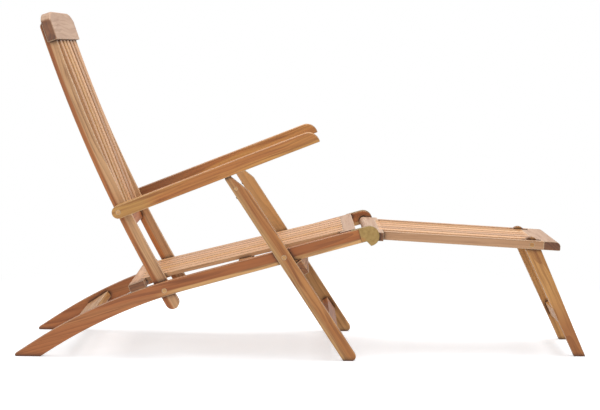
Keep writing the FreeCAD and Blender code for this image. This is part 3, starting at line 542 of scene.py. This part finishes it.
def brass_colour(tree, cloud, place, normal, rolled):
    """Brass with clouds of tarnish, copper-red patches and olive arrises."""
    patch = add(tree, "TexNoise", Vector=place, Scale=25.0, Detail=2.0).outputs["Fac"]
    patch = add(tree, "MapRange", Value=patch, From_Min=0.48, From_Max=0.66, To_Max=0.7).outputs[0]
    colour = add(tree, "Mix", COLOURS, _0=cloud, _6=linear(BRASS), _7=linear(TARNISH)).outputs[2]
    colour = add(tree, "Mix", COLOURS, _0=patch, _6=colour, _7=linear(COPPER_RED)).outputs[2]
    # the arrises turn darker and more olive than the faces
    turned = add(tree, "VectorMath", DOT, _0=normal, _1=rolled).outputs["Value"]
    olive_edge = add(tree, "MapRange", Value=turned, From_Min=0.995, From_Max=0.9, To_Max=0.5).outputs[0]
    return add(tree, "Mix", COLOURS, _0=olive_edge, _6=colour, _7=linear(BRASS_ARRIS)).outputs[2]


def dulled_brass():
    """Old brass, satin where it is tarnished, with arrises rolled over by about a millimetre."""
    material, tree = started("dulled_brass")
    place = add(tree, "TexCoord").outputs["Object"]
    cloud = add(tree, "TexNoise", Vector=place, Scale=100.0, Detail=4.0).outputs["Fac"]
    normal = add(tree, "NewGeometry").outputs["Normal"]
    rolled = add(tree, "Bevel", {"samples": 6}, Radius=0.0012).outputs["Normal"]
    colour = brass_colour(tree, cloud, place, normal, rolled)
    rough = add(tree, "MapRange", Value=cloud, To_Min=0.34, To_Max=0.58).outputs[0]
    bump = add(tree, "Bump", Strength=0.1, Distance=0.0002, Height=cloud, Normal=rolled)
    shader = add(tree, "BsdfPrincipled", Base_Color=colour, Metallic=1.0, Roughness=rough,
                 Normal=bump.outputs["Normal"])
    add(tree, "OutputMaterial", Surface=shader.outputs[0])
    return material


brass = dulled_brass()
print(brass.name, "nodes in the graph", len(brass.node_tree.nodes))

# %% [markdown]
# Two small round-headed screws hold the legs' pegs. They are steel that has browned,
# with rust in clouds of about 2.5 mm, so they hardly shine.


# %% Darkened steel
def darkened_steel():
    """Browned steel, from dull brown to nearly black."""
    material, tree = started("darkened_steel")
    place = add(tree, "TexCoord").outputs["Object"]
    cloud = add(tree, "TexNoise", Vector=place, Scale=400.0, Detail=3.0).outputs["Fac"]
    colour = add(tree, "Mix", COLOURS, _0=cloud, _6=linear("#4A4038"), _7=linear("#2C2622")).outputs[2]
    rough = add(tree, "MapRange", Value=cloud, To_Min=0.4, To_Max=0.6).outputs[0]
    shader = add(tree, "BsdfPrincipled", Base_Color=colour, Metallic=1.0, Roughness=rough)
    add(tree, "OutputMaterial", Surface=shader.outputs[0])
    return material


steel = darkened_steel()
print(steel.name, "nodes in the graph", len(steel.node_tree.nodes))

# %% [markdown]
# Every piece now gets its finish, in the material slots that it already has.
# Assigning a material changes how a piece looks and nothing of its shape.

# %% Finish the pieces
for number, name in enumerate(sorted(nodes)):
    obj = nodes[name]
    if name.startswith(BRASS_NODES):
        material = brass
    elif name.startswith(STEEL_NODES):
        material = steel
    else:
        material = teak_for(name, number)
    if not obj.material_slots:
        obj.data.materials.append(material)
    for slot in obj.material_slots:
        slot.material = material
print("finished", len(nodes), "nodes with", len(bpy.data.materials), "materials")

# %% [markdown]
# A photograph taken with a long lens shows the chair almost square from its side.
# The camera stands 5.4 m away, a little below the top of the headboard, and looks down 5 degrees.
# Its small yaw and roll are the photographer's, and the focal length is measured in pixels
# of a frame that is 600 wide.

# %% Turn of the camera
YAW, PITCH, ROLL = radians(0.24), radians(5.34), radians(0.63)
view_way = Vector((sin(YAW) * cos(PITCH), cos(YAW) * cos(PITCH), -sin(PITCH)))
level_right = Vector((cos(YAW), -sin(YAW), 0))
level_up = level_right.cross(view_way)
right = cos(ROLL) * level_right + sin(ROLL) * level_up
up = -sin(ROLL) * level_right + cos(ROLL) * level_up
turn = Matrix((right, up, -view_way)).transposed().to_4x4()
print("looks along", [round(v, 3) for v in view_way])

# %% Camera
CAMERA_PLACE = (-0.0355, -5.441, 0.955)
SENSOR_MM, FOCAL_PIXELS, FRAME_PIXELS = 36, 1726, 600
lens = bpy.data.cameras.new("long_lens")
lens.sensor_fit = "HORIZONTAL"
lens.sensor_width = SENSOR_MM
lens.lens = FOCAL_PIXELS / FRAME_PIXELS * SENSOR_MM
lens.clip_end = 100
camera = bpy.data.objects.new("camera", lens)
camera.matrix_world = Matrix.Translation(CAMERA_PLACE) @ turn
bpy.context.scene.collection.objects.link(camera)
bpy.context.scene.camera = camera
print("lens", round(lens.lens, 1), "mm")

# %% [markdown]
# The chair was photographed on white, with a faint grey shadow under it.
# White could come from strong light, but that would bleach the wood.
# So the floor and the world glow, and only the camera and reflections see the glow:
# it gives the wood and brass some sheen, but no light that would bleach their colour.


# %% Rays that see the glow
def seen_directly(tree):
    """1 for rays from the camera, off mirrors and through glass, and 0 for light that scatters."""
    rays = add(tree, "LightPath").outputs
    mirrored = add(tree, "Math", LARGER, _0=rays["Is Glossy Ray"], _1=rays["Is Transmission Ray"])
    return add(tree, "Math", LARGER, _0=rays["Is Camera Ray"], _1=mirrored.outputs[0]).outputs[0]


WHITE = (1.0, 1.0, 1.0, 1.0)
print("seen white", WHITE[:3], "at strength 1")

# %% [markdown]
# The floor is a large plane of pale paper. Near the chair it is matt with a little glow of its own,
# so that the shadow stays, and farther out it turns to pure white, which hides the horizon.
# From below it is see-through, so that the underside of the chair can be looked at.

# %% Lay the floor
FLOOR_M = 60
bpy.ops.mesh.primitive_plane_add(size=FLOOR_M, location=(0, 0, 0))
floor = bpy.context.object
floor.name = "studio_floor"
print("floor", FLOOR_M, "m square")

# %% White paper
NEAR_M, FAR_M, NEAR_GLOW = 0.9, 1.9, 0.5
SMOOTH = {"interpolation_type": "SMOOTHSTEP"}
paper, tree = started("white_paper")
direct = seen_directly(tree)
spot = add(tree, "TexCoord").outputs["Object"]
reach = add(tree, "VectorMath", LENGTH, _0=spot).outputs["Value"]
far = add(tree, "MapRange", SMOOTH, Value=reach, From_Min=NEAR_M, From_Max=FAR_M).outputs[0]
matt = add(tree, "BsdfDiffuse", Color=linear("#E3E6EA")).outputs[0]
glow = add(tree, "Emission", Color=WHITE, Strength=NEAR_GLOW).outputs[0]
white = add(tree, "Emission", Color=WHITE, Strength=1.0).outputs[0]
near = add(tree, "AddShader", _0=matt, _1=glow).outputs[0]
shown = add(tree, "MixShader", _0=far, _1=near, _2=white).outputs[0]
above = add(tree, "MixShader", _0=direct, _1=matt, _2=shown).outputs[0]
below = add(tree, "NewGeometry").outputs["Backfacing"]
clear = add(tree, "BsdfTransparent").outputs[0]
either = add(tree, "MixShader", _0=below, _1=above, _2=clear).outputs[0]
add(tree, "OutputMaterial", Surface=either)
floor.data.materials.append(paper)
print("white from", FAR_M, "m outwards")

# %% [markdown]
# The light in the photograph is soft and comes from above, so tops are pale and sides are deeper.
# An even world fills the shadows, one broad lamp overhead lights the tops,
# and a weaker one in front lights the sides.

# %% World
FILL = 0.5
world = bpy.data.worlds.new("white_studio")
bpy.context.scene.world = world
world.use_nodes = True
tree = world.node_tree
tree.nodes.clear()
strength = add(tree, "MapRange", Value=seen_directly(tree), To_Min=FILL, To_Max=1.0).outputs[0]
sky = add(tree, "Background", Color=WHITE, Strength=strength).outputs[0]
add(tree, "OutputWorld", Surface=sky)
print("fill light", FILL)


# %% Lamps
def lamp(name, size, power, place, target):
    """A broad soft lamp that faces the target, with its size in metres and power in watts."""
    light = bpy.data.lights.new(name, "AREA")
    light.shape = "DISK"
    light.size = size
    light.energy = power
    obj = bpy.data.objects.new(name, light)
    obj.location = place
    obj.rotation_euler = (Vector(target) - Vector(place)).to_track_quat("-Z", "Y").to_euler()
    bpy.context.scene.collection.objects.link(obj)


lamp("overhead_softbox", size=2.8, power=100.0, place=(0.3, 0.3, 3.6), target=(0.0, 0.0, 0.4))
lamp("front_softbox", size=2.4, power=38.0, place=(-0.8, -3.8, 1.6), target=(0.0, 0.0, 0.5))
print("lamps", sorted(light.name for light in bpy.data.lights))

# %% [markdown]
# The Standard view shows the colours as they were written.

# %% Finish
bpy.context.scene.view_settings.view_transform = "Standard"
